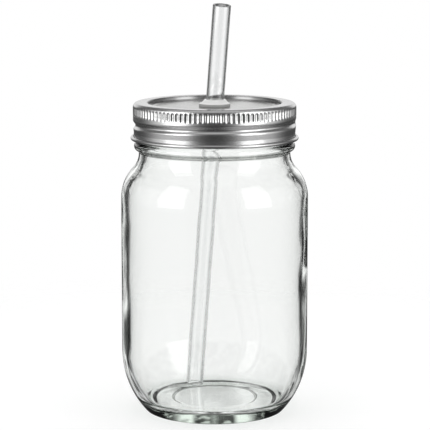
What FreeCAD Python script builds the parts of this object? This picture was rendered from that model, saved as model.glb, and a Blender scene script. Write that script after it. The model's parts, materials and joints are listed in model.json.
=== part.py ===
import FreeCAD, Part
import math
import os

# Mason jar with a two-piece canning lid, a silicone grommet and a drinking straw.
# Millimetres, +Z up, the jar stands on z = 0 with its axis on the Z axis, front towards -Y.
# Angles run from +X towards +Y, so the front is at -90 degrees.

os.makedirs("parts", exist_ok=True)

# ---- glass jar -----------------------------------------------------------------------------
BODY_R = 42.0                 # outside radius of the straight side
WALL = 3.8                    # glass thickness of the side
RIM_Z = 138.15                # height of the sealing land of the mouth
FINISH_R = 34.7               # glass surface between the thread turns
HEEL_TOP_Z = 27.5             # where the heel curve runs into the straight side
SHOULDER_R = 19.1             # outside radius of the shoulder curve
SHOULDER_RISE = 19.9          # height of the shoulder, from the side to the neck
FOOT_INSET = 11.7             # from the side to the outer edge of the foot ring
FOOT_WIDTH = 1.1              # flat ring the jar stands on
FOOT_ROUND = 2.1              # small radius between the foot ring and the heel curve
PUNT_BORDER = 2.2             # slope from the foot ring into the recess under the base
PUNT_DEPTH = 1.2
PUNT_STEP_INSET = 7.5         # from the edge of the recess to its deeper middle
PUNT_STEP_DEPTH = 2.0
PUNT_STEP_SLOPE = 0.5         # half the width of the slope between the two
FLOOR_Z = 6.0                 # inside floor
FLOOR_ROUND = 5.0             # inside radius between the floor and the heel
MOUTH_WALL = 4.0              # glass thickness of the finish
RIM_ROUND = 0.8
NECK_INSET = 0.7              # neck under the bead, inside the finish radius
NECK_TAPER = 0.3              # the bore narrows a little towards the neck
NECK_BELOW_RIM = 20.85
BEAD_BELOW_RIM = 17.55        # transfer bead under the screw band
BEAD_ROUND = 2.2
BEAD_OVERHANG = 1.4           # bead beyond the finish radius

# ---- thread --------------------------------------------------------------------------------
LEAD = 5.08                   # five turns to the inch
THREAD_TUBE = 1.1             # radius of the round glass thread
THREAD_SINK = 0.15            # its centre below the glass surface
THREAD_BELOW_RIM = 4.57       # upper end of the glass thread
THREAD_TOP_DEG = -40.0        # where that end lies
THREAD_TURN_DEG = 400.0       # how far the thread runs downward from it
RIDGE_TUBE = 1.5              # inward ridge of the band, and the groove it leaves outside
THREAD_GAP = 0.2              # between the glass thread and the band's ridge below it
CREST_GAP = 0.19              # between the glass thread and the band's wall
RIDGE_OUT = 0.2               # its centre beyond the collar
RIDGE_START_DEG = -340.0
RIDGE_FLAT_DEG = -95.0        # the ridge levels out after this angle
RIDGE_END_DEG = 10.0
RIDGE_EASE_DEG = 10.0         # half of the stretch where it levels out

# ---- screw band ----------------------------------------------------------------------------
SHEET = 0.3                   # sheet thickness of band and disc
LIP_SETBACK = 0.4             # edge of the lip outside the well of the disc
BAND_CORNER = 2.2
BULGE_OUT = 0.21              # beyond the waist
COLLAR_OUT = 0.36             # beyond the waist
COLLAR_H = 7.7                # these heights are measured down from the top of the band
BULGE_DOWN = 11.2
WAIST_DOWN = 13.4
HEM_DOWN = 15.85
HEM_TUBE = 0.88               # rolled lower edge
HEM_CLOSE_DEG = 470.0         # where the roll ends
KNURLS = 102
KNURL_TUBE = 0.75             # radius of each round-ended groove
KNURL_DEPTH = 0.4
KNURL_DOWN = 1.4              # from the top of the band to the grooves
KNURL_H = 4.3

# ---- lid disc and sealing ring -------------------------------------------------------------
LIP_CLEARANCE = 0.05          # between the band lip and the disc rim
DISC_INSET = 0.5              # edge of the disc inside the finish radius
DISC_SKIRT = 0.85             # height of the turned-down edge
WELL_CLEARANCE = 0.9          # between the well of the disc and the mouth bore
WELL_SLOPE = 0.5
WELL_DEPTH = 1.25
PANEL_INSET = 2.6             # from the well wall to the central panel
PANEL_DEPTH = 0.3
PANEL_SLOPE = 0.4
SEAL_H = 1.2
SEAL_INSET = 0.2              # from the mouth bore to the seal
SEAL_CLEARANCE = 0.1          # between the seal and the turned-down edge

# ---- straw and grommet ---------------------------------------------------------------------
STRAW_R = 4.0
STRAW_WALL = 0.8
STRAW_LENGTH = 178.5
LEAN_RIGHT_DEG = 4.1
LEAN_FRONT_DEG = 7.5
STRAW_FLOOR_GAP = 0.3         # lowest point of the straw above the floor
CROSSING_RISE = 0.25          # where the straw crosses the jar's axis, above the panel
STRAW_FIT = 0.05
GROMMET_FIT = 0.05            # neck of the grommet in the hole of the disc
GROMMET_WALL = 1.5            # between the straw and the hole
FLANGE_OUT = 1.4              # flange beyond the hole
FLANGE_H = 1.25
TAIL_OUT = 1.2                # flange under the disc, beyond the hole
TAIL_H = 1.3
COLLAR_BASE = 2.2             # thickness of the leaning collar round the straw
COLLAR_TIP = 1.0
COLLAR_RISE = 3.15            # along the straw, above the crossing
EDGE = 0.3                    # small bevels of the grommet

# ---- worked out from the sizes above -------------------------------------------------------
FOOT_R = BODY_R - FOOT_INSET
PUNT_R = FOOT_R - FOOT_WIDTH - PUNT_BORDER
PUNT_STEP_R = PUNT_R - PUNT_STEP_INSET
NECK_R = FINISH_R - NECK_INSET
NECK_Z = RIM_Z - NECK_BELOW_RIM
SHOULDER_Z = NECK_Z - SHOULDER_RISE
MOUTH_R = FINISH_R - MOUTH_WALL
THREAD_CENTRE_R = FINISH_R - THREAD_SINK
WAIST_R = THREAD_CENTRE_R + THREAD_TUBE + CREST_GAP + SHEET
BULGE_R = WAIST_R + BULGE_OUT
COLLAR_R = WAIST_R + COLLAR_OUT
RIDGE_CENTRE_R = COLLAR_R + RIDGE_OUT
RIDGE_REACH = RIDGE_CENTRE_R - THREAD_CENTRE_R
THREAD_DROP = math.sqrt((THREAD_TUBE + RIDGE_TUBE + THREAD_GAP) ** 2 - RIDGE_REACH ** 2)
DISC_UNDER_Z = RIM_Z + SEAL_H
DISC_Z = DISC_UNDER_Z + SHEET
BAND_Z = DISC_Z + LIP_CLEARANCE + SHEET
DISC_R = FINISH_R - DISC_INSET
WELL_R = MOUTH_R - WELL_CLEARANCE
WELL_Z = DISC_Z - WELL_DEPTH
PANEL_R = WELL_R - WELL_SLOPE - PANEL_INSET
PANEL_Z = WELL_Z - PANEL_DEPTH
HOLE_R = STRAW_R + STRAW_FIT + GROMMET_WALL + GROMMET_FIT
LIP_R = WELL_R + LIP_SETBACK
CROSSING_Z = PANEL_Z + CROSSING_RISE

UP = FreeCAD.Vector(0, 0, 1)
ORIGIN = FreeCAD.Vector(0, 0, 0)


def at(r, z):
    return FreeCAD.Vector(r, 0, z)


def polar(centre, radius, deg):
    angle = math.radians(deg)
    return (centre[0] + radius * math.cos(angle), centre[1] + radius * math.sin(angle))


def direction(a, b):
    return math.degrees(math.atan2(b[1] - a[1], b[0] - a[0]))


def arc(centre, radius, start, end):
    """An arc step: the point halfway round and the end point."""
    return (polar(centre, radius, (start + end) / 2), polar(centre, radius, end))


def lathe(start, steps):
    """Revolve a closed outline in the XZ plane; a step is a point, or a pair for an arc."""
    edges = []
    here = start
    for step in steps + [start]:
        curved = isinstance(step[0], tuple)
        end = step[1] if curved else step
        if curved:
            edges.append(Part.Arc(at(*here), at(*step[0]), at(*end)).toShape())
        elif math.dist(here, end) > 1e-6:
            edges.append(Part.makeLine(at(*here), at(*end)))
        here = end
    outline = Part.Face(Part.Wire(edges))
    return outline.revolve(ORIGIN, UP, 360)


def on_cylinder(radius, deg, z):
    angle = math.radians(deg)
    return FreeCAD.Vector(radius * math.cos(angle), radius * math.sin(angle), z)


def tube_round(radius, start, end, height, tube):
    """A round rod swept about the Z axis from one angle to another; height gives its z."""
    count = math.ceil((end - start) / 5)
    turns = [start + (end - start) * i / count for i in range(count + 1)]
    points = [on_cylinder(radius, deg, height(deg)) for deg in turns]
    curve = Part.BSplineCurve()
    curve.interpolate(points)
    section = Part.makeCircle(tube, points[0], curve.tangent(curve.FirstParameter)[0])
    return Part.Wire(curve.toShape()).makePipeShell([Part.Wire(section)], True, False)


def glass_thread_z(deg):
    return RIM_Z - THREAD_BELOW_RIM + (deg - THREAD_TOP_DEG) / 360 * LEAD


def band_thread_z(deg):
    """The ridge runs under the glass thread, then eases level."""
    start = RIDGE_FLAT_DEG - RIDGE_EASE_DEG
    ease = min(max(deg - start, 0), 2 * RIDGE_EASE_DEG)
    rise = min(deg, start) + ease - ease * ease / (4 * RIDGE_EASE_DEG)
    return glass_thread_z(rise) - THREAD_DROP


def heel_arc():
    """Radius of the outside curve tangent to the straight side and to the foot's round."""
    a = FOOT_ROUND - FOOT_INSET
    b = FOOT_ROUND - HEEL_TOP_Z
    inset = FOOT_INSET
    return (FOOT_ROUND ** 2 - inset * inset - b * b) / (2 * a)


def neck_arc(neck_r, shoulder_r):
    """Radius of the hollow curve from the shoulder to the neck."""
    a = neck_r - (BODY_R - SHOULDER_R)
    b = SHOULDER_RISE
    return (a * a + b * b - shoulder_r ** 2) / (2 * (shoulder_r - a))


def shoulder_steps(neck_r, shoulder_r):
    """Arc steps from the side of the jar up to its neck."""
    shoulder = (BODY_R - SHOULDER_R, SHOULDER_Z)
    hollow_r = neck_arc(neck_r, shoulder_r)
    hollow = (neck_r + hollow_r, NECK_Z)
    turn = direction(shoulder, hollow)
    return [arc(shoulder, shoulder_r, 0, turn), arc(hollow, hollow_r, turn + 180, 180)]


def base_steps():
    """From the middle of the recess, round the foot and the heel, up the straight side."""
    heel = (BODY_R - heel_arc(), HEEL_TOP_Z)
    foot = (FOOT_R, FOOT_ROUND)
    turn = direction(heel, foot)
    steps = [(PUNT_STEP_R - PUNT_STEP_SLOPE, PUNT_STEP_DEPTH)]
    steps += [(PUNT_STEP_R + PUNT_STEP_SLOPE, PUNT_DEPTH), (PUNT_R, PUNT_DEPTH)]
    steps += [(FOOT_R - FOOT_WIDTH, 0), (FOOT_R, 0)]
    steps += [arc(foot, FOOT_ROUND, -90, turn), arc(heel, heel_arc(), turn, 0), (BODY_R, SHOULDER_Z)]
    return steps


def finish_steps():
    """From the neck over the bead to the rounded outer edge of the rim."""
    bead = (FINISH_R + BEAD_OVERHANG - BEAD_ROUND, RIM_Z - BEAD_BELOW_RIM)
    low = -math.degrees(math.acos((NECK_R - bead[0]) / BEAD_ROUND))
    high = math.degrees(math.acos((FINISH_R - bead[0]) / BEAD_ROUND))
    rim = (FINISH_R - RIM_ROUND, RIM_Z - RIM_ROUND)
    return [polar(bead, BEAD_ROUND, low), arc(bead, BEAD_ROUND, low, high), (FINISH_R, rim[1]),
            arc(rim, RIM_ROUND, 0, 90)]


def hollow_steps():
    """From the middle of the floor up the inside to the rounded inner edge of the rim."""
    inside_r = BODY_R - WALL
    heel_r = heel_arc() - WALL
    heel = (inside_r - heel_r, HEEL_TOP_Z)
    drop = HEEL_TOP_Z - FLOOR_Z - FLOOR_ROUND
    floor = (heel[0] + math.sqrt((heel_r - FLOOR_ROUND) ** 2 - drop ** 2), FLOOR_Z + FLOOR_ROUND)
    turn = direction(heel, floor)
    rim = (MOUTH_R + RIM_ROUND, RIM_Z - RIM_ROUND)
    steps = [(floor[0], FLOOR_Z), arc(floor, FLOOR_ROUND, -90, turn), arc(heel, heel_r, turn, 0)]
    steps += [(inside_r, SHOULDER_Z)] + shoulder_steps(MOUTH_R - NECK_TAPER, SHOULDER_R - WALL)
    steps += [(MOUTH_R, rim[1]), arc(rim, RIM_ROUND, 180, 90)]
    return steps


def glass_thread():
    low = THREAD_TOP_DEG - THREAD_TURN_DEG
    rod = tube_round(THREAD_CENTRE_R, low, THREAD_TOP_DEG, glass_thread_z, THREAD_TUBE)
    ends = []
    for deg in (low, THREAD_TOP_DEG):
        centre = on_cylinder(THREAD_CENTRE_R, deg, glass_thread_z(deg))
        ends.append(Part.makeSphere(THREAD_TUBE, centre))
    return [rod] + ends


def glass_jar():
    outline = base_steps() + shoulder_steps(NECK_R, SHOULDER_R) + finish_steps()
    body = lathe((0, PUNT_STEP_DEPTH), outline + [(0, RIM_Z)])
    above = RIM_Z + 1
    hollow = lathe((0, FLOOR_Z), hollow_steps() + [(MOUTH_R + RIM_ROUND, above), (0, above)])
    return body.cut(hollow).fuse(glass_thread())


def band_shell():
    """The rolled sheet of the band without its knurls and thread."""
    corner = (COLLAR_R - BAND_CORNER, BAND_Z - BAND_CORNER)
    wall_r = COLLAR_R - KNURL_DEPTH - SHEET
    inner_corner = (wall_r - BAND_CORNER + SHEET, corner[1])
    collar_z = BAND_Z - COLLAR_H
    bulge_z = BAND_Z - BULGE_DOWN
    waist_z = BAND_Z - WAIST_DOWN
    backing_z = BAND_Z - KNURL_DOWN - KNURL_H
    hem = (WAIST_R - SHEET + HEM_TUBE, BAND_Z - HEM_DOWN)
    curl = HEM_TUBE - SHEET
    steps = [(corner[0], BAND_Z), arc(corner, BAND_CORNER, 90, 0), (COLLAR_R, collar_z)]
    steps += [(BULGE_R, bulge_z), (WAIST_R, waist_z), (WAIST_R, hem[1])]
    steps += [arc(hem, curl, 180, HEM_CLOSE_DEG), polar(hem, HEM_TUBE, HEM_CLOSE_DEG)]
    steps += [arc(hem, HEM_TUBE, HEM_CLOSE_DEG, 180)]
    steps += [(WAIST_R - SHEET, waist_z), (BULGE_R - SHEET, bulge_z), (COLLAR_R - SHEET, collar_z)]
    steps += [(COLLAR_R - SHEET, backing_z - 4 * SHEET), (wall_r, backing_z - 2 * SHEET)]
    steps += [(wall_r, corner[1]), arc(inner_corner, BAND_CORNER - SHEET, 0, 90), (LIP_R, BAND_Z - SHEET)]
    return lathe((LIP_R, BAND_Z), steps)


def knurl_cutters():
    """Round-ended upright grooves all the way round the collar."""
    high = BAND_Z - KNURL_DOWN - KNURL_TUBE
    low = BAND_Z - KNURL_DOWN - KNURL_H + KNURL_TUBE
    sides = [arc((0, low), KNURL_TUBE, -90, 0), (KNURL_TUBE, high), arc((0, high), KNURL_TUBE, 0, 90)]
    groove = lathe((0, low - KNURL_TUBE), sides)
    groove.translate(FreeCAD.Vector(COLLAR_R - KNURL_DEPTH + KNURL_TUBE, 0, 0))
    cutters = []
    for i in range(KNURLS):
        cutter = groove.copy()
        cutter.rotate(ORIGIN, UP, 360 * i / KNURLS)
        cutters.append(cutter)
    return cutters


def rolled_thread(tube):
    return tube_round(RIDGE_CENTRE_R, RIDGE_START_DEG, RIDGE_END_DEG, band_thread_z, tube)


def screw_band():
    """The ridge is kept inside the sheet, and the groove behind it is cut from outside."""
    sheet_middle = Part.makeCylinder(BULGE_R - SHEET / 2, BAND_Z)
    ridge = rolled_thread(RIDGE_TUBE).common(sheet_middle)
    groove = rolled_thread(RIDGE_TUBE - SHEET)
    return band_shell().fuse(ridge).cut([groove] + knurl_cutters())


def lid_disc():
    edge_r = DISC_R - SHEET
    low_z = DISC_Z - DISC_SKIRT
    well_low_r = WELL_R - WELL_SLOPE
    slope_r = PANEL_R + PANEL_SLOPE
    side = SHEET / 2
    steps = [(PANEL_R, PANEL_Z), (slope_r, WELL_Z), (well_low_r, WELL_Z), (WELL_R, DISC_Z)]
    steps += [(edge_r, DISC_Z), arc((edge_r, DISC_UNDER_Z), SHEET, 90, 0), (DISC_R, low_z)]
    steps += [(edge_r, low_z), (edge_r, DISC_UNDER_Z), (WELL_R + side, DISC_UNDER_Z)]
    steps += [(well_low_r + side, WELL_Z - SHEET), (slope_r, WELL_Z - SHEET)]
    steps += [(PANEL_R, PANEL_Z - SHEET), (HOLE_R, PANEL_Z - SHEET)]
    return lathe((HOLE_R, PANEL_Z), steps)


def sealing_ring():
    inner = MOUTH_R + SEAL_INSET
    outer = DISC_R - SHEET - SEAL_CLEARANCE
    return lathe((inner, RIM_Z), [(outer, RIM_Z), (outer, DISC_UNDER_Z), (inner, DISC_UNDER_Z)])


def straw_axis():
    right = math.tan(math.radians(LEAN_RIGHT_DEG))
    front = math.tan(math.radians(LEAN_FRONT_DEG))
    return FreeCAD.Vector(right, -front, 1).normalize()


def straw_point(along):
    """A point of the straw's axis, measured from where it crosses the jar's axis."""
    return FreeCAD.Vector(0, 0, CROSSING_Z) + straw_axis() * along


def drinking_straw():
    axis = straw_axis()
    lean = math.sqrt(1 - axis.z ** 2)
    foot_z = FLOOR_Z + STRAW_FLOOR_GAP + STRAW_R * lean
    foot = straw_point((foot_z - CROSSING_Z) / axis.z)
    outside = Part.makeCylinder(STRAW_R, STRAW_LENGTH, foot, axis)
    inside = Part.makeCylinder(STRAW_R - STRAW_WALL, STRAW_LENGTH, foot, axis)
    return outside.cut(inside)


def grommet_spool():
    """Flange on the panel, neck through the hole, and a flange under the disc."""
    under = PANEL_Z - SHEET
    top = PANEL_Z + FLANGE_H
    low = under - TAIL_H
    neck_r = HOLE_R - GROMMET_FIT
    tail_r = HOLE_R + TAIL_OUT
    flange_r = HOLE_R + FLANGE_OUT
    steps = [(tail_r - EDGE, low), (tail_r, low + EDGE), (tail_r, under), (neck_r, under)]
    steps += [(neck_r, PANEL_Z), (flange_r, PANEL_Z), (flange_r, top - EDGE), (flange_r - EDGE, top)]
    return lathe((0, low), steps + [(0, top)])


def straw_grommet():
    """The spool with a collar that leans with the straw, bored for it."""
    base_r = STRAW_R + COLLAR_BASE
    collar = Part.makeCone(base_r, STRAW_R + COLLAR_TIP, COLLAR_RISE, straw_point(0), straw_axis())
    width = 4 * base_r
    corner = FreeCAD.Vector(-width / 2, -width / 2, PANEL_Z + FLANGE_H - EDGE)
    above = Part.makeBox(width, width, width, corner)
    bore = Part.makeCylinder(STRAW_R + STRAW_FIT, 2 * width, straw_point(-width), straw_axis())
    return grommet_spool().fuse(collar.common(above)).cut(bore)


def save(name, shape):
    """Write the one solid of a finished piece."""
    solid, = shape.removeSplitter().Solids
    solid.exportStep("parts/" + name + ".step")


save("glass_jar", glass_jar())
save("screw_band", screw_band())
save("lid_disc", lid_disc())
save("sealing_ring", sealing_ring())
save("straw_grommet", straw_grommet())
save("drinking_straw", drinking_straw())
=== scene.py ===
"""Mason jar with a two-piece canning lid, a soft grommet and a drinking straw.

Metres, +Z up. The jar stands on z = 0 and its front is towards -Y. Where each piece goes
comes from the frame, and the sizes that the frame doesn't give are properties.
"""

import json
import math

import bpy
from bpy.props import FloatProperty, FloatVectorProperty, IntProperty, PointerProperty
from bpy.types import Operator, Panel, PropertyGroup
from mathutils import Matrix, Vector


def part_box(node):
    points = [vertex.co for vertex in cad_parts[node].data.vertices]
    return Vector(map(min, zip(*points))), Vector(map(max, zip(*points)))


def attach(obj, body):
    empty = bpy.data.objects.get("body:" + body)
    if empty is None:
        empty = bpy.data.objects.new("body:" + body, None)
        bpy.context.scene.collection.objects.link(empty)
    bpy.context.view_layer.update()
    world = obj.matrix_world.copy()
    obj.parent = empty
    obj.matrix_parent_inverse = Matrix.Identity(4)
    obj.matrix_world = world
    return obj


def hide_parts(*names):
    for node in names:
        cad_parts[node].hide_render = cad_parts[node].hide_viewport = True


bl_info = {
    "name": "Mason jar with straw lid",
    "version": (1, 0, 0),
    "blender": (4, 5, 0),
    "location": "3D View > Sidebar > Jar",
    "description": "Builds the glass jar, its screw band and disc, the grommet, the straw and the stage",
    "category": "Object",
}

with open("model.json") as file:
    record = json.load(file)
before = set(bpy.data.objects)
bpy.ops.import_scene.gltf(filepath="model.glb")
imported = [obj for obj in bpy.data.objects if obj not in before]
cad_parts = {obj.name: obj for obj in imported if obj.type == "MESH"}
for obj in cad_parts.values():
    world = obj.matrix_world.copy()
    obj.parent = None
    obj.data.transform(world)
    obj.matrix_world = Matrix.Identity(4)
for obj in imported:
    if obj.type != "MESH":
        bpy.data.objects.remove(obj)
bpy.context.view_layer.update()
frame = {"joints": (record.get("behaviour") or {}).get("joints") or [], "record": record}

MM = 0.001
GLASS_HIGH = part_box("glass_jar")[1]
BAND_LOW, BAND_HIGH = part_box("screw_band")
DISC_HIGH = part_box("lid_disc")[1]
SEAL_LOW, SEAL_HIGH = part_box("sealing_ring")
GROMMET_LOW, GROMMET_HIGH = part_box("straw_grommet")
JOINTS = {joint["name"]: joint for joint in frame["joints"]}
MOUNTS = {mount["name"]: mount for mount in frame["record"]["mounts"]}
STRAW_AXIS = Vector(JOINTS["straw_slide"]["axis"]).normalized()
STRAW_CROSSING = Vector(MOUNTS["straw_bore"]["pos_m"])
STRAW_BORE = MOUNTS["straw_bore"]["dims"]
LEAD = 2 * math.pi * frame["record"]["behaviour"]["couplings"][0]["ratio"]

# The stage
FLOOR_RADIUS = 0.32
FLOOR_FADE = 0.22  # radius at which the floor starts to fade out
CROSSED = 2.5  # light that has met more clear surfaces than this has crossed the jar
LAMP_SIDE_DEG = 55.3  # from straight in front to each softbox
LAMP_DISTANCE = 0.9
LAMP_HEIGHT = 0.5
LAMP_SIZE = (0.543, 1.0)
LAMP_RADIANCE = 1.7
OVERHEAD_PLACE = (0, 0.1, 1.3)
OVERHEAD_SIZE = (1.0, 1.0)
OVERHEAD_RADIANCE = 3.0
CAMERA_LENS = 167.6
CAMERA_PITCH_DEG = 9.14
CAMERA_DISTANCE = 0.9015
CAMERA_TARGET = Vector((0.00018, 0, 0.0889))


def length(name, about, value):
    return FloatProperty(name=name, description=about, default=value, unit="LENGTH", precision=5)


def colour(name, about, value):
    return FloatVectorProperty(name=name, description=about, default=value, subtype="COLOR", size=3,
                               min=0.0, max=1.0)


class GlassSizes(PropertyGroup):
    body_radius: length("Body radius", "Outside radius of the straight side", GLASS_HIGH.x)
    wall: length("Wall", "Glass thickness of the side", 3.8 * MM)
    finish_wall: length("Finish wall", "Glass thickness at the mouth", 4.0 * MM)
    waviness: length("Waviness", "How far the inside surface of the pressed glass wanders", 0.24 * MM)
    wave_size: length("Wave size", "Spacing of those waves", 16 * MM)
    foot_inset: length("Foot inset", "From the straight side in to the outer edge of the foot ring", 11.7 * MM)
    foot_round: length("Foot round", "Radius between the foot ring and the heel curve", 2.1 * MM)
    heel_height: length("Heel height", "Where the heel curve runs into the straight side", 27.5 * MM)
    shoulder_radius: length("Shoulder radius", "Outside radius of the shoulder curve", 19.1 * MM)
    shoulder_rise: length("Shoulder rise", "Height from the side up to the neck", 19.9 * MM)
    neck_drop: length("Neck drop", "From the rim down to the neck", 20.85 * MM)
    finish_radius: length("Finish radius", "Glass surface between the thread turns", 34.7 * MM)
    rim_edge: length("Rim edge", "Roundness of the rim's edges", 0.8 * MM)
    thread_drop: length("Thread drop", "From the rim down to the thread's start", 4.57 * MM)
    thread_height: length("Thread height", "How far the thread stands out", 0.95 * MM)
    bead_drop: length("Bead drop", "From the rim down to the transfer bead", 17.55 * MM)
    bead_radius: length("Bead radius", "Roundness of the transfer bead", 2.2 * MM)
    floor_height: length("Floor height", "Inside floor above the table", 6.0 * MM)
    floor_round: length("Floor round", "Radius where the inside floor turns up", 5.0 * MM)
    segments: IntProperty(name="Segments", description="Steps round the jar", default=288, min=96)


class BandSizes(PropertyGroup):
    sheet: length("Sheet", "Thickness of the band and the disc", 0.3 * MM)
    lip_radius: length("Lip radius", "Inner edge of the top lip", 30.2 * MM)
    collar_radius: length("Collar radius", "Outside of the knurled collar", 36.5 * MM)
    corner: length("Corner", "Radius between the lip and the collar", 2.2 * MM)
    knurls: IntProperty(name="Knurls", description="Upright grooves round the collar", default=102)
    knurl_depth: length("Knurl depth", "Depth of the upright grooves", 0.4 * MM)
    knurl_reach: length("Knurl reach", "Half the width of one groove", 0.90 * MM)
    knurl_top: length("Knurl top", "From the lip down to the grooves' upper ends", 1.4 * MM)
    knurl_foot: length("Knurl foot", "From the lip down to the grooves' lower ends", 5.7 * MM)
    thread_depth: length("Thread depth", "Depth of the rolled thread groove", 1.0 * MM)
    thread_drop: length("Thread drop", "From the lip down to where the thread runs level", 9.0 * MM)
    hem_radius: length("Hem radius", "Outside radius of the rolled lower edge", 0.88 * MM)


class DiscSizes(PropertyGroup):
    hole_radius: length("Hole", "Radius of the hole for the grommet", 5.6 * MM)
    panel_radius: length("Panel", "Radius of the sunken middle", 26.7 * MM)
    panel_drop: length("Panel drop", "From the rim down to the middle", 1.55 * MM)
    well_radius: length("Well", "Outer radius of the lower ring round the middle", 29.65 * MM)
    well_drop: length("Well drop", "From the rim down to that ring", 1.25 * MM)
    skirt: length("Skirt", "Height of the turned-down edge", 0.85 * MM)
    seal_radius: length("Seal", "Inner radius of the sealing compound", 30.9 * MM)


class GrommetSizes(PropertyGroup):
    neck_radius: length("Neck", "Radius of the groove that holds the disc", 5.55 * MM)
    tail_radius: length("Tail", "Radius below the disc", 6.8 * MM)
    flange: length("Flange", "Thickness of the flange on the disc", 1.25 * MM)
    collar_wall: length("Collar wall", "Thickness of the collar's upper edge", 0.7 * MM)
    collar_rise: length("Collar rise", "Upper edge above the straw's crossing with the jar's axis", 2.9 * MM)
    clearance: length("Clearance", "Between the straw and the bore", 0.1 * MM)


class StrawSizes(PropertyGroup):
    radius: length("Radius", "Outside radius of the straw", 4.0 * MM)
    bore: length("Bore", "Inside radius of the straw", STRAW_BORE["r_mm"] * MM)
    long: length("Length", "Length of the straw", STRAW_BORE["length_mm"] * MM)
    foot_height: length("Foot height", "Middle of the straw's foot above the table", 6.894 * MM)


class Finishes(PropertyGroup):
    glass: colour("Glass", "What the glass lets through in thick places", (0.60, 0.74, 0.62))
    band: colour("Band", "Bright tinplate of the screw band", (0.76, 0.76, 0.76))
    disc: colour("Disc", "Satin tinplate of the lid disc", (0.67, 0.67, 0.66))
    seal: colour("Seal", "Sealing compound", (0.70, 0.68, 0.64))
    grommet: colour("Grommet", "Soft milky silicone", (0.82, 0.82, 0.81))
    straw: colour("Straw", "Clear plastic", (0.925, 0.93, 0.93))
    floor: colour("Floor", "Studio floor", (0.45, 0.45, 0.45))


# ---- outlines ------------------------------------------------------------------------------


def bow(centre, radius, start, end, count):
    """Points along an arc in the outline plane, from one angle in degrees to another."""
    angles = [math.radians(start + (end - start) * i / count) for i in range(count + 1)]
    return [(centre[0] + radius * math.cos(a), centre[1] + radius * math.sin(a)) for a in angles]


def heading(a, b):
    """Angle in degrees from one point of an outline to another."""
    return math.degrees(math.atan2(b[1] - a[1], b[0] - a[0]))


def rounded(corners, count=5):
    """An outline through (radius, height, fillet) corners, each fillet made as an arc."""
    points = [Vector(corners[0][:2])]
    for before, here, after in zip(corners, corners[1:], corners[2:]):
        p, q, r = Vector(before[:2]), Vector(here[:2]), Vector(after[:2])
        into, out = (q - p).normalized(), (r - q).normalized()
        turn = into.angle_signed(out) if here[2] else 0
        if abs(turn) < 1e-4:
            points.append(q)
            continue
        cut = here[2] * math.tan(abs(turn) / 2)
        for i in range(count + 1):
            t = i / count
            points.append((q - into * cut) * (1 - t) ** 2 + q * (2 * t * (1 - t)) + (q + out * cut) * t ** 2)
    points.append(Vector(corners[-1][:2]))
    return [tuple(point) for point in points]


def closely(points, step, low=-1.0, high=1.0):
    """The same outline with more points where it lies between two heights."""
    result = [points[0]]
    for a, b in zip(points, points[1:]):
        inside = min(a[1], b[1]) < high and max(a[1], b[1]) > low
        count = max(1, math.ceil(math.dist(a, b) / step)) if inside else 1
        result += [tuple(Vector(a).lerp(Vector(b), i / count)) for i in range(1, count + 1)]
    return result


def apart(points):
    """Leave out points that repeat the one before."""
    result = [points[0]]
    for point in points[1:]:
        if math.dist(point, result[-1]) > 1e-6:
            result.append(point)
    return result


def smooth(value, low, high):
    """0 below, 1 above, and eased between."""
    t = min(max((value - low) / (high - low), 0), 1)
    return t * t * (3 - 2 * t)


# ---- modelling by hand ---------------------------------------------------------------------


def turned(name, outline, segments, close_start=False, close_end=False, centre=lambda z: (0, 0)):
    """A circle added at the first point of the outline and extruded from point to point."""
    outline = apart(outline)
    bpy.ops.object.select_all(action="DESELECT")
    radius, height = outline[0]
    bpy.ops.mesh.primitive_circle_add(vertices=segments, radius=radius)
    piece = bpy.context.object
    piece.name = piece.data.name = name
    bpy.ops.object.mode_set(mode="EDIT")
    bpy.ops.mesh.select_all(action="SELECT")
    here = Vector((*centre(height), height))
    bpy.ops.transform.translate(value=here)
    if close_start:
        cap_ring()
    for next_radius, next_height in outline[1:]:
        there = Vector((*centre(next_height), next_height))
        bpy.ops.mesh.extrude_edges_move(TRANSFORM_OT_translate={"value": there - here})
        grow = next_radius / radius
        bpy.ops.transform.resize(value=(grow, grow, 1), center_override=there)
        radius, here = next_radius, there
    if close_end:
        cap_ring()
    bpy.ops.mesh.select_all(action="SELECT")
    bpy.ops.mesh.remove_doubles(threshold=0.001 * MM)
    bpy.ops.mesh.normals_make_consistent(inside=False)
    bpy.ops.object.mode_set(mode="OBJECT")
    return piece


def cap_ring():
    """Close the selected ring towards its middle, and leave the ring selected again."""
    mesh = bpy.context.object.data
    bpy.ops.mesh.extrude_edges_move(TRANSFORM_OT_translate={"value": (0, 0, 0)})
    bpy.ops.mesh.merge(type="CENTER")
    bpy.ops.object.mode_set(mode="OBJECT")
    middle = [v.index for v in mesh.vertices if v.select]
    ring = {v for e in mesh.edges for v in e.vertices if middle[0] in e.vertices} - set(middle)
    for vertex in mesh.vertices:
        vertex.select = vertex.index in ring
    for edge in mesh.edges:
        edge.select = edge.vertices[0] in ring and edge.vertices[1] in ring
    for face in mesh.polygons:
        face.select = False
    bpy.ops.object.mode_set(mode="EDIT")


def only(piece):
    """Select this piece and nothing else."""
    bpy.ops.object.select_all(action="DESELECT")
    piece.select_set(True)
    bpy.context.view_layer.objects.active = piece


def press(piece, name, depth, weight):
    """Push the surface in by a depth, as far as the weight at each point says."""
    group = piece.vertex_groups.new(name=name)
    for vertex in piece.data.vertices:
        share = weight(vertex.co)
        if share > 0:
            group.add([vertex.index], share, "REPLACE")
    shaper = piece.modifiers.new(name, "DISPLACE")
    shaper.vertex_group = name
    shaper.direction = "NORMAL"
    shaper.mid_level = 0
    shaper.strength = -depth
    only(piece)
    bpy.ops.object.modifier_apply(modifier=name)


def thicken(piece, sheet):
    """Give a shell the thickness of its sheet, on the inside."""
    only(piece)
    shell = piece.modifiers.new("sheet", "SOLIDIFY")
    shell.thickness = sheet
    shell.offset = -1
    shell.use_even_offset = True
    bpy.ops.object.modifier_apply(modifier="sheet")


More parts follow.
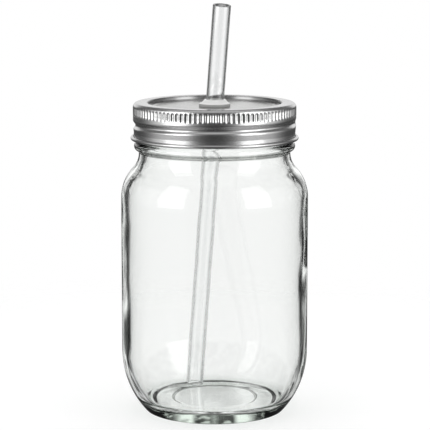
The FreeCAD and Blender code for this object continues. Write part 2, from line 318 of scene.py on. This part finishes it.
def outward(piece, height):
    """Turn an open shell so that its outermost wall at this height faces away from the axis."""
    level = [face for face in piece.data.polygons if abs(face.center.z - height) < 0.2 * MM]
    wall = max(level, key=lambda face: face.center.xy.length)
    if wall.normal.xy.dot(wall.center.xy) < 0:
        only(piece)
        bpy.ops.object.mode_set(mode="EDIT")
        bpy.ops.mesh.select_all(action="SELECT")
        bpy.ops.mesh.flip_normals()
        bpy.ops.object.mode_set(mode="OBJECT")


def finish_piece(piece, body, node, material, sharp=None):
    """Shade a piece, give it its material and tell the frame where it belongs."""
    only(piece)
    if sharp is None:
        bpy.ops.object.shade_smooth()
    else:
        bpy.ops.object.shade_smooth_by_angle(angle=math.radians(sharp))
    piece.data.materials.clear()
    piece.data.materials.append(material)
    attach(piece, body)
    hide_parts(node)


def straw_ends(straw):
    """Middle of the straw's foot and of its tip."""
    foot = STRAW_CROSSING + STRAW_AXIS * ((straw.foot_height - STRAW_CROSSING.z) / STRAW_AXIS.z)
    return foot, foot + STRAW_AXIS * straw.long


def bearing(point):
    """Angle of a point round the axis, in degrees, -90 at the front."""
    return math.degrees(math.atan2(point.y, point.x))


# ---- materials -----------------------------------------------------------------------------


class Wire:
    """A node's output, with arithmetic that adds Math nodes."""

    def __init__(self, recipe, socket):
        self.recipe = recipe
        self.socket = socket

    def maths(self, operation, *others):
        return self.recipe.node("ShaderNodeMath", {"operation": operation}, dict(enumerate((self, *others))))

    def __add__(self, other):
        return self.maths("ADD", other)

    def __sub__(self, other):
        return self.maths("SUBTRACT", other)

    def __mul__(self, other):
        return self.maths("MULTIPLY", other)

    def __rsub__(self, other):
        return (self * -1.0) + other

    __radd__ = __add__
    __rmul__ = __mul__


class Recipe:
    """The nodes of one material or of the world."""

    def __init__(self, owner):
        owner.use_nodes = True
        self.tree = owner.node_tree
        self.tree.nodes.clear()

    def node(self, kind, settings=None, inputs=None, output=0):
        """Add a node: its settings first, then the values or links of its sockets."""
        made = self.tree.nodes.new(kind)
        for name, value in (settings or {}).items():
            if name == "stops":
                self.set_stops(made.color_ramp, value)
            else:
                setattr(made, name, value)
        for name, value in (inputs or {}).items():
            if isinstance(value, Wire):
                self.tree.links.new(value.socket, made.inputs[name])
            else:
                made.inputs[name].default_value = value
        return Wire(self, made.outputs[output]) if made.outputs else None

    @staticmethod
    def set_stops(ramp, stops):
        while len(ramp.elements) < len(stops):
            ramp.elements.new(1.0)
        for element, (position, grey) in zip(ramp.elements, stops):
            element.position = position
            element.color = (grey, grey, grey, 1)

    def parts(self, vector):
        """The x, y and z of a vector."""
        split = self.node("ShaderNodeSeparateXYZ", {}, {0: vector}).socket.node
        return [Wire(self, socket) for socket in split.outputs]

    def blend(self, share, first, second):
        """A mix of two colours."""
        return self.node("ShaderNodeMix", {"data_type": "RGBA"}, {0: share, 6: first, 7: second}, 2)

    def mix(self, share, first, second):
        """A mix of two numbers."""
        return self.node("ShaderNodeMix", {"data_type": "FLOAT"}, {0: share, 2: first, 3: second})

    def ramp(self, value, low, high):
        """0 below, 1 above, and smooth between."""
        inputs = {"Value": value, "From Min": low, "From Max": high}
        return self.node("ShaderNodeMapRange", {"interpolation_type": "SMOOTHSTEP"}, inputs)

    def place(self, scale=(1, 1, 1)):
        """Object coordinates, stretched."""
        spot = self.node("ShaderNodeTexCoord", output="Object")
        return self.node("ShaderNodeMapping", {}, {"Vector": spot, "Scale": scale})

    def from_axis(self):
        """How far a point is from the jar's axis."""
        x, y, _ = self.parts(self.place())
        return (x * x + y * y).maths("SQRT")

    def ray(self, kind):
        return self.node("ShaderNodeLightPath", output=kind)

    def noise(self, scale, detail=3.0, stretch=(1, 1, 1)):
        inputs = {"Vector": self.place(stretch), "Scale": scale, "Detail": detail}
        return self.node("ShaderNodeTexNoise", {}, inputs)

    def bump(self, height, strength, distance):
        inputs = {"Height": height, "Strength": strength, "Distance": distance}
        return self.node("ShaderNodeBump", {}, inputs)

    def light_shadow(self, body, colour):
        """The same shader with a shadow of a colour, not a black one."""
        shade = self.node("ShaderNodeBsdfTransparent", {}, {"Color": (*colour, 1)})
        return self.node("ShaderNodeMixShader", {}, {0: self.ray("Is Shadow Ray"), 1: body, 2: shade})

    def surface(self, shader, volume=None):
        inputs = {"Surface": shader}
        if volume:
            inputs["Volume"] = volume
        self.node("ShaderNodeOutputMaterial", {}, inputs)


def material(name):
    made = bpy.data.materials.new(name)
    return made, Recipe(made)


def pressed_glass(tint):
    """Clear soda glass: faint ripples, a little green in thick places, light shadows."""
    made, recipe = material("pressed_glass")
    ripples = recipe.noise(90, 2.0, (1, 1, 0.5))
    body = recipe.node("ShaderNodeBsdfPrincipled", {}, {
        "Base Color": (1, 1, 1, 1), "Roughness": 0.0, "IOR": 1.5, "Transmission Weight": 1.0,
        "Normal": recipe.bump(ripples, 0.12, 0.4 * MM)})
    depth = recipe.node("ShaderNodeVolumeAbsorption", {}, {"Color": (*tint, 1), "Density": 12.0})
    recipe.surface(recipe.light_shadow(body, (0.93, 0.95, 0.94)), depth)
    return made


def clear_plastic(tint, straw):
    """Drawn clear tube with painted highlight streaks either side of its middle, and painted shade at its grazing
    edges and at its cut ends.
    """
    made, recipe = material("clear_plastic")
    facing = recipe.node("ShaderNodeLayerWeight", {}, {"Blend": 0.5}, "Facing")
    # painted highlight: a whiter band either side of the middle, where the softboxes would shine in the tube
    painted_highlight_streaks = recipe.ramp(facing, 0.03, 0.06) - recipe.ramp(facing, 0.14, 0.20)
    wall = recipe.blend(painted_highlight_streaks, (*tint, 1), (1, 1, 1, 1))
    # painted shade: grey towards the grazing edges, for the dark outline of the tube
    wall = recipe.blend(recipe.ramp(facing, 0.28, 0.52), wall, (0.40, 0.41, 0.41, 1))
    along = recipe.node("ShaderNodeVectorMath", {"operation": "DOT_PRODUCT"},
                        {0: recipe.place(), 1: STRAW_AXIS}, "Value")
    foot, tip = (STRAW_AXIS.dot(end) for end in straw_ends(straw))
    near, far = 0.1 * MM, 0.4 * MM
    cut = recipe.ramp(along, foot + far, foot + near) + recipe.ramp(along, tip - far, tip - near)
    # painted shade: grey at both cut ends
    wall = recipe.blend(cut, wall, (0.45, 0.46, 0.46, 1))
    worn = recipe.noise(120, 2.0, (1, 1, 0.1))
    body = recipe.node("ShaderNodeBsdfPrincipled", {}, {
        "Base Color": wall, "Roughness": worn * 0.03, "IOR": 1.57, "Transmission Weight": 1.0})
    recipe.surface(recipe.light_shadow(body, (0.93, 0.93, 0.93)))
    return made


def bright_tinplate(tint):
    """Rolled bright sheet: slightly uneven gloss and faint roll marks round the band."""
    made, recipe = material("bright_tinplate")
    cloudy = recipe.noise(60, 3.0)
    marks = recipe.noise(900, 2.0, (0.05, 0.05, 1))
    metal = recipe.node("ShaderNodeBsdfPrincipled", {}, {
        "Base Color": (*tint, 1), "Metallic": 1.0, "Roughness": cloudy * 0.08 + 0.22,
        "Normal": recipe.bump(marks, 0.08, 0.05 * MM)})
    recipe.surface(metal)
    return made


def satin_tinplate(tint, well_radius):
    """Matt-rolled sheet with a fine grain, and painted shade from the wall of the well outwards, where the band's
    lip overhangs it.
    """
    made, recipe = material("satin_tinplate")
    grain = recipe.noise(2500, 2.0)
    cloudy = recipe.noise(45, 3.0)
    # painted shade: from the wall of the well outwards the sheet is coloured dark grey, standing in for the shadow
    # under the band's lip
    painted_shade_well = recipe.ramp(recipe.from_axis(), well_radius - 0.3 * MM, well_radius - 0.1 * MM)
    metal = recipe.node("ShaderNodeBsdfPrincipled", {}, {
        "Base Color": recipe.blend(painted_shade_well, (*tint, 1), (0.34, 0.34, 0.34, 1)), "Metallic": 1.0,
        "Roughness": cloudy * 0.08 + 0.22, "Normal": recipe.bump(grain, 0.10, 0.03 * MM)})
    recipe.surface(metal)
    return made


def sealing_compound(tint):
    """Dull compound with a fine grain."""
    made, recipe = material("sealing_compound")
    grain = recipe.noise(1800, 2.0)
    body = recipe.node("ShaderNodeBsdfPrincipled", {}, {
        "Base Color": (*tint, 1), "Roughness": grain * 0.15 + 0.45,
        "Normal": recipe.bump(grain, 0.15, 0.05 * MM)})
    recipe.surface(body)
    return made


def soft_silicone(tint):
    """Milky soft rubber with a faint sheen, and painted shade on the upright edge of its flange."""
    made, recipe = material("soft_silicone")
    cloudy = recipe.noise(350, 3.0)
    # painted shade: the flange's upright edge is coloured grey, as the dim light from the front leaves it
    edge = recipe.ramp(recipe.from_axis(), GROMMET_HIGH.x - 0.35 * MM, GROMMET_HIGH.x - 0.05 * MM)
    body = recipe.node("ShaderNodeBsdfPrincipled", {}, {
        "Base Color": recipe.blend(edge, (*tint, 1), (0.50, 0.50, 0.49, 1)), "Roughness": cloudy * 0.10 + 0.30,
        "IOR": 1.41, "Subsurface Weight": 0.3, "Subsurface Radius": (1, 1, 1), "Subsurface Scale": 1.5 * MM,
        "Normal": recipe.bump(cloudy, 0.10, 0.1 * MM)})
    recipe.surface(body)
    return made


def studio_floor(tint):
    """Pale floor that glows a little, so that it meets the backdrop, and keeps a soft shadow.
    It fades out before its edge, and light that a mirror or the glass bends goes through it."""
    made, recipe = material("studio_floor")
    out = recipe.from_axis()
    # painted light: the floor glows brighter under the jar than round it, so that the floor seen through the base
    # looks lit
    glow = recipe.blend(recipe.ramp(out, 0.018, 0.034), (0.76, 0.76, 0.76, 1), (0.58, 0.58, 0.58, 1))
    solid = recipe.node("ShaderNodeBsdfPrincipled", {}, {
        "Base Color": (*tint, 1), "Roughness": 1.0, "Specular IOR Level": 0.0, "Emission Color": glow,
        "Emission Strength": 1.0})
    clear = recipe.node("ShaderNodeBsdfTransparent", {}, {"Color": (1, 1, 1, 1)})
    bent = recipe.ray("Transmission Depth").maths("LESS_THAN", CROSSED) * recipe.ray("Is Transmission Ray")
    mirrored = recipe.ray("Is Reflection Ray")
    open_part = recipe.ramp(out, FLOOR_FADE, FLOOR_RADIUS).maths("MAXIMUM", bent).maths("MAXIMUM", mirrored)
    recipe.surface(recipe.node("ShaderNodeMixShader", {}, {0: open_part, 1: solid, 2: clear}))
    return made


# ---- pieces --------------------------------------------------------------------------------


def side_top(s, rim):
    """Height at which the straight side ends and the shoulder starts."""
    return rim - s.neck_drop - s.shoulder_rise


def shoulder(body_radius, round_radius, neck_radius, low, rise, count=14):
    """Two tangent arcs from the straight side up to the neck: the shoulder, then a hollow."""
    lower = (body_radius - round_radius, low)
    a = neck_radius - lower[0]
    hollow = (a * a + rise * rise - round_radius ** 2) / (2 * (round_radius - a))
    upper = (neck_radius + hollow, low + rise)
    turn = heading(lower, upper)
    return bow(lower, round_radius, 0, turn, count) + bow(upper, hollow, turn + 180, 180, count)


def jar_outside(s, rim):
    """From the middle of the base, round the heel, shoulder and bead, to the rim.

    The heel's radius comes out of it too: its arc runs from the foot ring's arc into the side.
    """
    foot_round = s.foot_round
    foot = (s.body_radius - s.foot_inset, foot_round)
    a, b = foot_round - s.foot_inset, foot_round - s.heel_height
    heel_radius = (foot_round ** 2 - s.foot_inset ** 2 - b * b) / (2 * a)
    heel = (s.body_radius - heel_radius, s.heel_height)
    turn = heading(heel, foot)
    punt, step = 2.0 * MM, 1.2 * MM
    underside = [(17.8 * MM, punt, 0), (19.0 * MM, punt, 0), (19.4 * MM, step, 0.8 * MM),
                 (foot[0] - 3.3 * MM, step, 0.8 * MM), (foot[0] - 1.1 * MM, 0.0, 0.6 * MM), (foot[0], 0.0, 0)]
    base = [(8 * MM, punt)] + rounded(underside)
    low = side_top(s, rim)
    neck_radius = s.finish_radius - 0.7 * MM
    bead = (s.finish_radius + 1.4 * MM - s.bead_radius, rim - s.bead_drop)
    bead_low = -math.degrees(math.acos((neck_radius - bead[0]) / s.bead_radius))
    bead_high = math.degrees(math.acos((s.finish_radius - bead[0]) / s.bead_radius))
    side = closely([(s.body_radius, s.heel_height), (s.body_radius, low)], 3.5 * MM)
    edge = s.rim_edge
    outline = base + bow(foot, foot_round, -90, turn, 8) + bow(heel, heel_radius, turn, 0, 22) + side
    outline += shoulder(s.body_radius, s.shoulder_radius, neck_radius, low, s.shoulder_rise)
    outline += bow(bead, s.bead_radius, bead_low, bead_high, 14)
    outline += closely([outline[-1], (s.finish_radius, rim - edge)], 0.45 * MM)
    outline += bow((s.finish_radius - edge, rim - edge), edge, 0, 90, 6)
    return outline, heel_radius


def jar_inside(s, rim, heel_radius):
    """From the rim down the bore and the inside of the wall to the middle of the floor."""
    edge = s.rim_edge
    mouth = s.finish_radius - s.finish_wall
    neck = mouth - 0.3 * MM
    inside = s.body_radius - s.wall
    low = side_top(s, rim)
    floor_round = s.floor_round
    reach = heel_radius - s.wall
    heel = (inside - reach, s.heel_height)
    drop = s.heel_height - s.floor_height - floor_round
    floor = (heel[0] + math.sqrt((reach - floor_round) ** 2 - drop ** 2), s.floor_height + floor_round)
    turn = heading(heel, floor)
    upward = [(16.5 * MM, s.floor_height), (19.5 * MM, s.floor_height)]
    upward += bow(floor, floor_round, -90, turn, 8) + bow(heel, reach, turn, 0, 22)
    upward += closely([(inside, s.heel_height), (inside, low)], 3.5 * MM)
    upward += shoulder(inside, s.shoulder_radius - s.wall, neck, low, s.shoulder_rise)
    upward += closely([(neck, rim - s.neck_drop), (mouth, rim - edge)], 1.5 * MM)
    upward += bow((mouth + edge, rim - edge), edge, 180, 90, 6)
    return upward[::-1]


def glass_thread(s, rim):
    """How much of the thread's height a point of the finish has."""
    top_deg, turns_deg, fade_deg, half_width = -40.0, 400.0, 14, 1.35 * MM
    top = rim - s.thread_drop
    low, high = rim - 13 * MM, rim - 2 * MM
    outside = s.finish_radius - 0.7 * MM

    def share(point):
        if not low < point.z < high or math.hypot(point.x, point.y) < outside:
            return 0
        best = 0
        for turn in (0, 360):
            back = top_deg - (bearing(point) - turn)
            if 0 < back < turns_deg:
                off = abs(point.z - (top - back / 360 * LEAD)) / half_width
                fade = smooth(back, 0, fade_deg) * smooth(turns_deg - back, 0, fade_deg)
                best = max(best, fade * math.cos(min(off, 1) * math.pi / 2) ** 1.2)
        return best

    return share


def wavy_inside(piece, s, rim):
    """Let the inside of the wall wander, as it does in pressed and blown glass."""
    group = piece.vertex_groups.new(name="inside")
    low, high, fade = s.floor_height + 6 * MM, rim - s.neck_drop, 15 * MM
    for vertex in piece.data.vertices:
        radius = math.hypot(vertex.co.x, vertex.co.y)
        if radius < s.body_radius - 0.6 * s.wall and low < vertex.co.z < high:
            share = smooth(vertex.co.z, low, low + fade) * smooth(high - vertex.co.z, 0, fade)
            side = 0.2 + 0.8 * (vertex.co.x / radius) ** 8  # most at the left and right
            if share > 0 and inner_wall(radius, vertex.co.z, s, rim):
                group.add([vertex.index], share * side, "REPLACE")
    waves = bpy.data.textures.new("glass_waves", "CLOUDS")
    waves.noise_scale = s.wave_size
    waves.noise_depth = 1
    shaper = piece.modifiers.new("waves", "DISPLACE")
    shaper.texture = waves
    shaper.texture_coords = "LOCAL"
    shaper.vertex_group = "inside"
    shaper.mid_level = 0.5
    shaper.strength = 2 * s.waviness
    only(piece)
    bpy.ops.object.modifier_apply(modifier="waves")


def inner_wall(radius, height, s, rim):
    """Is this point on the inside of the wall, and not on the outside of the shoulder?"""
    low = side_top(s, rim)
    if height < low:
        return True
    centre = s.body_radius - s.shoulder_radius
    return math.hypot(radius - centre, height - low) < s.shoulder_radius - 0.5 * s.wall


class JAR_OT_glass(Operator):
    """Turn the glass jar, raise its thread and let its inside wander"""

    bl_idname = "jar.glass"
    bl_label = "Glass jar"

    def execute(self, context):
        s = context.scene.jar_glass
        rim = SEAL_LOW.z
        outside, heel_radius = jar_outside(s, rim)
        outline = outside + jar_inside(s, rim, heel_radius)
        piece = turned("glass_body", outline, s.segments, close_start=True, close_end=True)
        press(piece, "thread", -s.thread_height, glass_thread(s, rim))
        wavy_inside(piece, s, rim)
        tint = context.scene.jar_finishes.glass
        finish_piece(piece, "jar", "glass_jar", pressed_glass(tint))
        return {"FINISHED"}


def knurl_share(band, top):
    """How deep each point of the collar lies in its round-ended upright groove."""
    half_width = band.knurl_reach
    high, low = top - band.knurl_top - half_width, top - band.knurl_foot + half_width
    pitch = 2 * math.pi / band.knurls

    def share(point):
        if not low - half_width < point.z < high + half_width:
            return 0
        if math.hypot(point.x, point.y) < band.collar_radius - 0.6 * MM:
            return 0
        angle = math.radians(bearing(point))
        across = (angle / pitch - round(angle / pitch)) * pitch * band.collar_radius
        beyond = max(point.z - high, low - point.z, 0)
        off = math.hypot(across, beyond) / half_width
        return math.cos(min(off, 1) * math.pi / 2) ** 1.2

    return share


def thread_level(at_flat, deg):
    """Height of the rolled thread: it climbs with the lead, then levels out."""
    flat_deg, ease_deg = -95.0, 10.0
    start = flat_deg - ease_deg
    ease = min(max(deg - start, 0), 2 * ease_deg)
    rise = min(deg, start) + ease - ease * ease / (4 * ease_deg)
    return at_flat + (rise - flat_deg) / 360 * LEAD


def thread_share(at_flat):
    """How deep each point of the band lies in the rolled thread."""
    start_deg, end_deg, fade_deg = -340.0, 10.0, 25
    upper, lower = 2.1 * MM, 1.5 * MM

    def share(point):
        best = 0
        for turn in (0, 360):
            deg = bearing(point) - turn
            if start_deg < deg < end_deg:
                above = point.z - thread_level(at_flat, deg)
                off = above / upper if above > 0 else -above / lower
                fade = smooth(deg, start_deg, start_deg + fade_deg) * smooth(-deg, -end_deg, fade_deg - end_deg)
                best = max(best, fade * math.cos(min(off, 1) * math.pi / 2) ** 1.5)
        return best

    return share


class JAR_OT_band(Operator):
    """Turn the screw band, press its knurls and thread, and roll its hem"""

    bl_idname = "jar.band"
    bl_label = "Screw band"

    def execute(self, context):
        band = context.scene.jar_band
        top = BAND_HIGH.z
        collar_foot = top - 7.7 * MM
        bulge, bulge_z = band.collar_radius - 0.15 * MM, top - 11.2 * MM
        waist, waist_z = band.collar_radius - 0.36 * MM, top - 13.4 * MM
        hem_z = BAND_LOW.z + band.hem_radius
        curl = band.hem_radius - band.sheet
        corners = [(band.lip_radius, top - 0.12 * MM, 0), (band.lip_radius + 0.5 * MM, top, 0.4 * MM),
                   (band.collar_radius, top, band.corner), (band.collar_radius, collar_foot, 1.2 * MM),
                   (bulge, bulge_z, 3.0 * MM), (waist, waist_z, 3.0 * MM), (waist, hem_z, 0)]
        outline = rounded(corners, 7)
        outline = closely(outline, 0.42 * MM, hem_z + 2 * MM, top - 1.2 * MM)
        outline += bow((waist + curl, hem_z), curl, 180, 470, 14)
        piece = turned("band_sheet", outline, 8 * band.knurls)
        outward(piece, top - 4 * MM)
        press(piece, "knurls", band.knurl_depth, knurl_share(band, top))
        press(piece, "thread", band.thread_depth, thread_share(top - band.thread_drop))
        thicken(piece, band.sheet)
        tint = context.scene.jar_finishes.band
        finish_piece(piece, "band", "screw_band", bright_tinplate(tint), 40)
        return {"FINISHED"}


class JAR_OT_disc(Operator):
    """Turn the stamped disc with its well, panel and turned-down edge"""

    bl_idname = "jar.disc"
    bl_label = "Lid disc"

    def execute(self, context):
        disc = context.scene.jar_disc
        top = DISC_HIGH.z
        well, panel = top - disc.well_drop, top - disc.panel_drop
        edge = DISC_HIGH.x
        corners = [(disc.hole_radius, panel, 0), (disc.panel_radius, panel, 0.6 * MM),
                   (disc.panel_radius + 0.4 * MM, well, 0.6 * MM), (disc.well_radius, well, 0.2 * MM),
                   (disc.well_radius + 0.1 * MM, top, 0.2 * MM), (edge, top, 0.3 * MM), (edge, top - disc.skirt, 0)]
        outline = closely(rounded(corners), 2.5 * MM)
        piece = turned("disc_sheet", outline, 240)
        outward(piece, top - 0.5 * MM)
        thicken(piece, context.scene.jar_band.sheet)
        tint = context.scene.jar_finishes.disc
        finish_piece(piece, "lid", "lid_disc", satin_tinplate(tint, disc.well_radius), 40)
        return {"FINISHED"}


class JAR_OT_seal(Operator):
    """Turn the ring of sealing compound under the rim of the disc"""

    bl_idname = "jar.seal"
    bl_label = "Sealing ring"

    def execute(self, context):
        inner, outer = context.scene.jar_disc.seal_radius, SEAL_HIGH.x
        low, high, edge = SEAL_LOW.z, SEAL_HIGH.z, 0.35 * MM
        middle = (inner + outer) / 2
        corners = [(middle, low, 0), (outer, low, edge), (outer, high, edge), (inner, high, edge),
                   (inner, low, edge), (middle, low, 0)]
        piece = turned("seal_ring", rounded(corners), 192)
        tint = context.scene.jar_finishes.seal
        finish_piece(piece, "lid", "sealing_ring", sealing_compound(tint))
        return {"FINISHED"}


class JAR_OT_grommet(Operator):
    """Turn the soft spool and draw its collar up along the straw"""

    bl_idname = "jar.grommet"
    bl_label = "Grommet"

    def execute(self, context):
        spool, straw = context.scene.jar_grommet, context.scene.jar_straw
        panel = DISC_HIGH.z - context.scene.jar_disc.panel_drop
        under = panel - context.scene.jar_band.sheet
        flange, neck, tail = GROMMET_HIGH.x, spool.neck_radius, spool.tail_radius
        bore = straw.radius + spool.clearance
        top = STRAW_CROSSING.z + spool.collar_rise
        slope = (STRAW_AXIS.x / STRAW_AXIS.z, STRAW_AXIS.y / STRAW_AXIS.z)
        outside = [(bore + 1.2 * MM, GROMMET_LOW.z, 0), (tail, GROMMET_LOW.z, 0.4 * MM), (tail, under, 0.2 * MM),
                   (neck, under, 0), (neck, panel, 0), (flange, panel, 0.2 * MM),
                   (flange, panel + spool.flange, 0.3 * MM),
                   (straw.radius + 1.9 * MM, panel + spool.flange + 0.45 * MM, 1.5 * MM),
                   (straw.radius + spool.collar_wall, top, 0.3 * MM), (bore, top, 0)]
        inside = [(bore, top - 0.3 * MM), (bore, GROMMET_LOW.z)]

        def lean(z):
            share = smooth(z, panel + 1.0 * MM, panel + 2.0 * MM)
            return tuple(s * share * (z - STRAW_CROSSING.z) for s in slope)

        outline = closely(rounded(outside, 4), 0.5 * MM) + inside
        piece = turned("grommet_body", outline + [outline[0]], 96, centre=lean)
        tint = context.scene.jar_finishes.grommet
        finish_piece(piece, "grommet", "straw_grommet", soft_silicone(tint), 50)
        return {"FINISHED"}


class JAR_OT_straw(Operator):
    """Turn the straw upright, then lean it along its own axis"""

    bl_idname = "jar.straw"
    bl_label = "Straw"

    def execute(self, context):
        straw = context.scene.jar_straw
        foot, _ = straw_ends(straw)
        edge = 0.12 * MM
        wall_middle = (straw.radius + straw.bore) / 2
        corners = [(wall_middle, 0, 0), (straw.radius, 0, edge), (straw.radius, straw.long, edge),
                   (straw.bore, straw.long, edge), (straw.bore, 0, edge), (wall_middle, 0, 0)]
        piece = turned("straw_tube", closely(rounded(corners), 12 * MM), 96)
        piece.rotation_mode = "QUATERNION"
        piece.rotation_quaternion = Vector((0, 0, 1)).rotation_difference(STRAW_AXIS)
        piece.location = foot
        only(piece)
        bpy.ops.object.transform_apply(location=True, rotation=True, scale=True)
        tint = context.scene.jar_finishes.straw
        finish_piece(piece, "straw", "drinking_straw", clear_plastic(tint, straw), 50)
        return {"FINISHED"}


# ---- stage ---------------------------------------------------------------------------------


def studio_world(world):
    """White for the camera and for light that has crossed the jar. What shines in the metal and
    bends in the glass edges is a studio: a backdrop with dark flags beside it, pale walls that
    fade away from the softboxes, and a dark room behind the camera."""
    recipe = Recipe(world)
    x, y, z = recipe.parts(recipe.node("ShaderNodeTexCoord", output="Generated"))
    from_backdrop = x.maths("ARCTAN2", y).maths("ABSOLUTE") * (1 / math.pi)

    def around(*stops):
        """Greys by how many degrees a direction is from straight behind the jar."""
        stops = [(deg / 180, grey) for deg, grey in stops]
        return recipe.node("ShaderNodeValToRGB", {"stops": stops}, {0: from_backdrop})

    # what metal and the faces of the glass reflect: dark flags at 13 to 60 degrees, pale walls at the
    # sides, a dark room past 150, dimmer below the floor's edge, with a wide backdrop and a ceiling above
    walls = around((0, 1.0), (8, 1.0), (13, 0.10), (60, 0.10), (75, 0.32), (92, 0.85), (142, 0.85), (150, 0.30),
                   (166, 0.06), (180, 0.06)) * (recipe.ramp(z, -0.150, -0.130) * 0.5 + 0.5)
    backdrop = around((0, 1.0), (30, 1.0), (42, 0.0), (180, 0.0)) * recipe.ramp(z, -0.05, 0.0) * 0.93
    ceiling = recipe.mix(recipe.ramp(z, 0.68, 0.88), 0.13, 0.50)
    height = z + recipe.ramp(y, 0.0, 0.3) * 0.12
    studio = recipe.mix(recipe.ramp(height, 0.42, 0.52), walls.maths("MAXIMUM", backdrop), ceiling)
    # what the edges of the glass bend in: a dark outline, a light band and a dark inner line
    edges = around((0, 0.3), (3, 0.05), (10, 0.05), (13, 1.0), (19, 1.0), (23, 0.4), (27, 0.05), (29, 0.015),
                   (37, 0.015), (40, 0.27), (50, 0.15), (180, 0.15)) * 1.3
    # streaks where the heel and the shoulder bend light up or down
    streaks = recipe.node("ShaderNodeTexNoise", {}, {"Scale": 9.0, "Detail": 2.0})
    tilted = recipe.ramp((z + 0.17).maths("ABSOLUTE"), 0.08, 0.16)
    edges = recipe.mix(recipe.ramp(streaks, 0.50, 0.66) * tilted, edges, 0.75)
    marbled = recipe.mix(recipe.ramp(streaks, 0.46, 0.58), 0.06, 0.80)
    # light that has crossed the jar is white below the horizon and marbled above it
    crossed = recipe.ray("Transmission Depth").maths("GREATER_THAN", CROSSED)
    bent = recipe.mix(crossed, edges, recipe.mix(recipe.ramp(z, 0.02, 0.10), 1.0, marbled))
    light = recipe.mix(recipe.ray("Is Transmission Ray"), studio, bent)
    light = recipe.mix(recipe.ray("Is Camera Ray"), light, 1.0)
    sky = recipe.node("ShaderNodeBackground", {}, {"Color": light, "Strength": 1.0})
    recipe.node("ShaderNodeOutputWorld", {}, {"Surface": sky})


def softbox(name, place, aim, size, radiance):
    """A soft rectangular lamp, not seen by the camera itself."""
    lamp = bpy.data.lights.new(name, "AREA")
    lamp.shape = "RECTANGLE"
    lamp.size, lamp.size_y = size
    lamp.energy = radiance * math.pi * size[0] * size[1]
    holder = bpy.data.objects.new(name, lamp)
    bpy.context.scene.collection.objects.link(holder)
    holder.location = place
    holder.rotation_euler = (Vector(aim) - Vector(place)).to_track_quat("-Z", "Y").to_euler()
    holder.visible_camera = False
    return holder


def stand_camera(scene):
    """A long lens in front of the jar, looking a little down on it."""
    camera = bpy.data.objects.new("camera", bpy.data.cameras.new("camera"))
    scene.collection.objects.link(camera)
    camera.data.sensor_width = 36
    camera.data.lens = CAMERA_LENS
    pitch = math.radians(CAMERA_PITCH_DEG)
    camera.location = CAMERA_TARGET + Vector((0, -math.cos(pitch), math.sin(pitch))) * CAMERA_DISTANCE
    camera.rotation_euler = (math.pi / 2 - pitch, 0, 0)
    scene.camera = camera


class JAR_OT_stage(Operator):
    """Set the floor, the lamps, the world and the camera"""

    bl_idname = "jar.stage"
    bl_label = "Studio"

    def execute(self, context):
        scene = context.scene
        scene.view_settings.view_transform = "Standard"
        scene.cycles.max_bounces = 24
        scene.cycles.transmission_bounces = 24
        scene.cycles.glossy_bounces = 8
        scene.world = bpy.data.worlds.new("studio")
        studio_world(scene.world)
        bpy.ops.object.select_all(action="DESELECT")
        bpy.ops.mesh.primitive_circle_add(vertices=96, radius=FLOOR_RADIUS, fill_type="NGON")
        floor = context.object
        floor.name = "floor"
        floor.data.materials.append(studio_floor(scene.jar_finishes.floor))
        side = math.radians(LAMP_SIDE_DEG)
        for name, way in (("softbox_left", -1), ("softbox_right", 1)):
            place = (LAMP_DISTANCE * way * math.sin(side), -LAMP_DISTANCE * math.cos(side), LAMP_HEIGHT)
            softbox(name, place, (0, 0, LAMP_HEIGHT), LAMP_SIZE, LAMP_RADIANCE)
        overhead = softbox("overhead", OVERHEAD_PLACE, (0, 0, 0), OVERHEAD_SIZE, OVERHEAD_RADIANCE)
        overhead.visible_glossy = overhead.visible_transmission = False
        stand_camera(scene)
        return {"FINISHED"}


class JAR_PT_panel(Panel):
    """Sizes, colours and a button for each piece and the stage"""

    bl_label = "Mason jar"
    bl_idname = "JAR_PT_panel"
    bl_space_type = "VIEW_3D"
    bl_region_type = "UI"
    bl_category = "Jar"

    def draw(self, context):
        for name, group in GROUPS.items():
            box = self.layout.box()
            for size in group.__annotations__:
                box.prop(getattr(context.scene, name), size)
        for operator in OPERATORS:
            self.layout.operator(operator.bl_idname)


GROUPS = {"jar_glass": GlassSizes, "jar_band": BandSizes, "jar_disc": DiscSizes,
          "jar_grommet": GrommetSizes, "jar_straw": StrawSizes, "jar_finishes": Finishes}
OPERATORS = (JAR_OT_glass, JAR_OT_band, JAR_OT_disc, JAR_OT_seal, JAR_OT_grommet, JAR_OT_straw, JAR_OT_stage)


def register():
    for kind in (*GROUPS.values(), *OPERATORS, JAR_PT_panel):
        bpy.utils.register_class(kind)
    for name, group in GROUPS.items():
        setattr(bpy.types.Scene, name, PointerProperty(type=group))


def unregister():
    for name in GROUPS:
        delattr(bpy.types.Scene, name)
    for kind in reversed((*GROUPS.values(), *OPERATORS, JAR_PT_panel)):
        bpy.utils.unregister_class(kind)


def main():
    register()
    bpy.ops.jar.glass()
    bpy.ops.jar.band()
    bpy.ops.jar.disc()
    bpy.ops.jar.seal()
    bpy.ops.jar.grommet()
    bpy.ops.jar.straw()
    bpy.ops.jar.stage()


if __name__ == "__main__":
    main()
